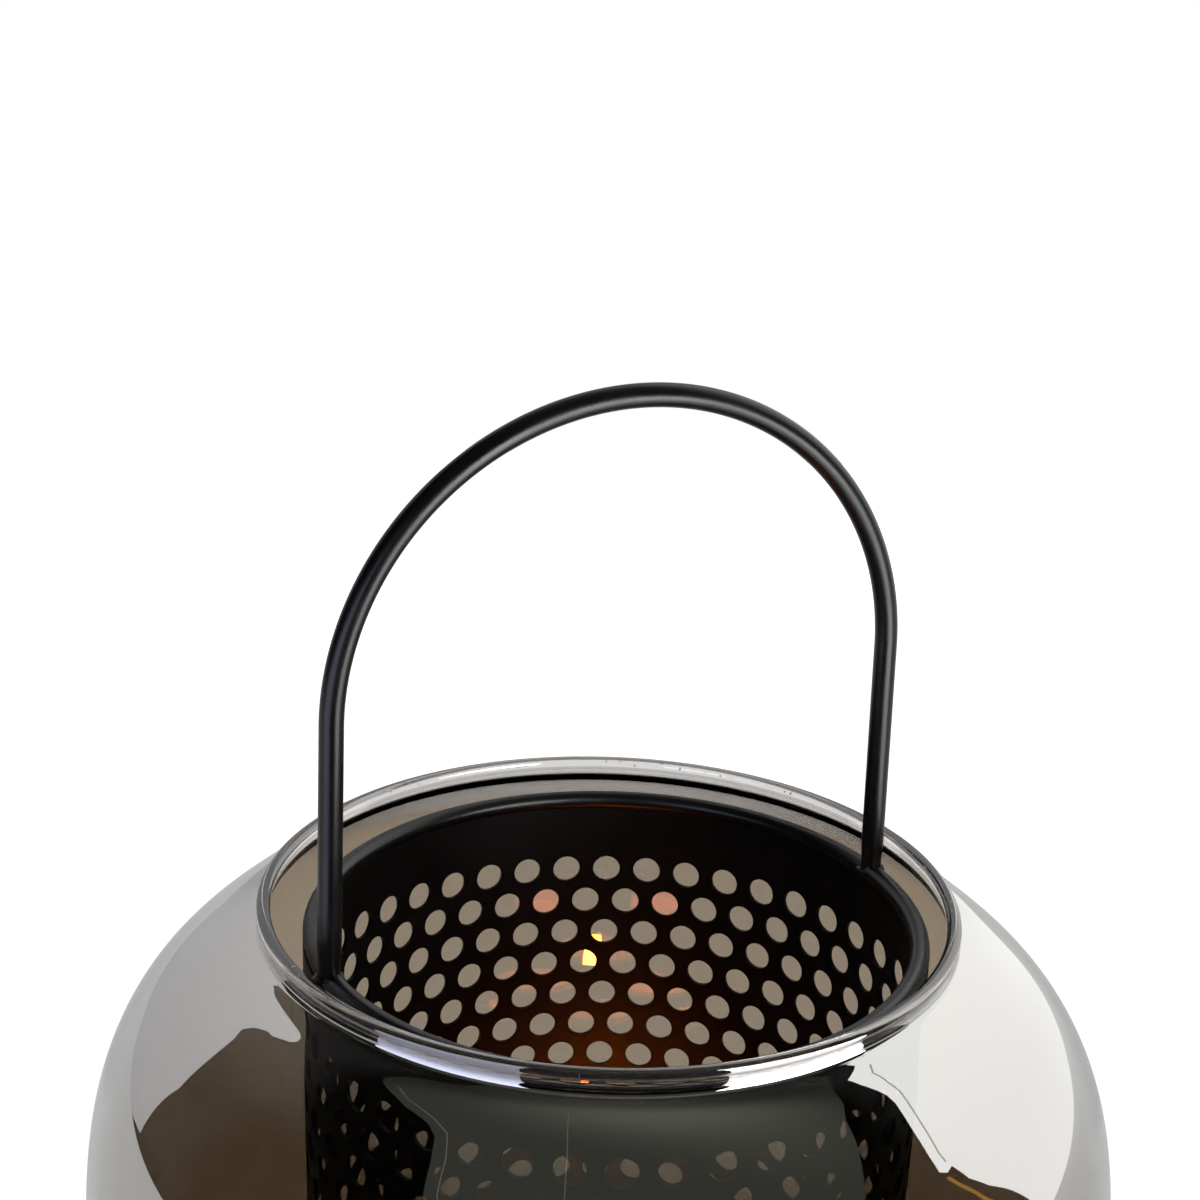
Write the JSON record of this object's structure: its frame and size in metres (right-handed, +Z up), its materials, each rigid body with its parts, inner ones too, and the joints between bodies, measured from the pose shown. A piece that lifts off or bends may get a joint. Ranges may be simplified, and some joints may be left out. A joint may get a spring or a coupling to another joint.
{
  "type": "candle lantern",
  "caption": "Squat round smoked-glass lantern with a rounded lip, a perforated black steel insert that lifts out by its arched rod handle, and a candle in a metal cup.",
  "frame": {"origin": "middle of the glass vessel's flat underside", "axes": "+Z up through the mouth towards the handle; the handle's arch stands in a vertical plane turned about 28 degrees from +X"},
  "size_m": [0.2686, 0.2686, 0.3313],
  "materials": {
    "smoked_glass": "blown glass, smoked and half mirrored, fire-polished lip",
    "black_steel": "satin black powder coat on steel",
    "clear_rubber": "clear soft silicone",
    "aluminium": "bright drawn sheet",
    "wax": "white paraffin wax, soft sheen",
    "wick": "braided cotton, charred at the top"
  },
  "bodies": {
    "vessel": {"glass_vessel": "smoked_glass"},
    "insert": {"perforated_sleeve": "black_steel", "rim_ring": "black_steel", "handle_rod": "black_steel", "base_pan": "black_steel", "foot_pad_1": "clear_rubber", "foot_pad_2": "clear_rubber", "foot_pad_3": "clear_rubber", "foot_pad_4": "clear_rubber"},
    "candle": {"candle_cup": "aluminium", "candle_wax": "wax", "wick_clip": "aluminium", "candle_wick": "wick"}
  },
  "joints": [
    {"name": "insert_lift", "type": "slide", "parent": "vessel", "child": "insert", "axis": [0, 0, 1], "range_m": [0, 0.2]},
    {"name": "candle_lift", "type": "slide", "parent": "insert", "child": "candle", "axis": [0, 0, 1], "range_m": [0, 0.19]}
  ]
}
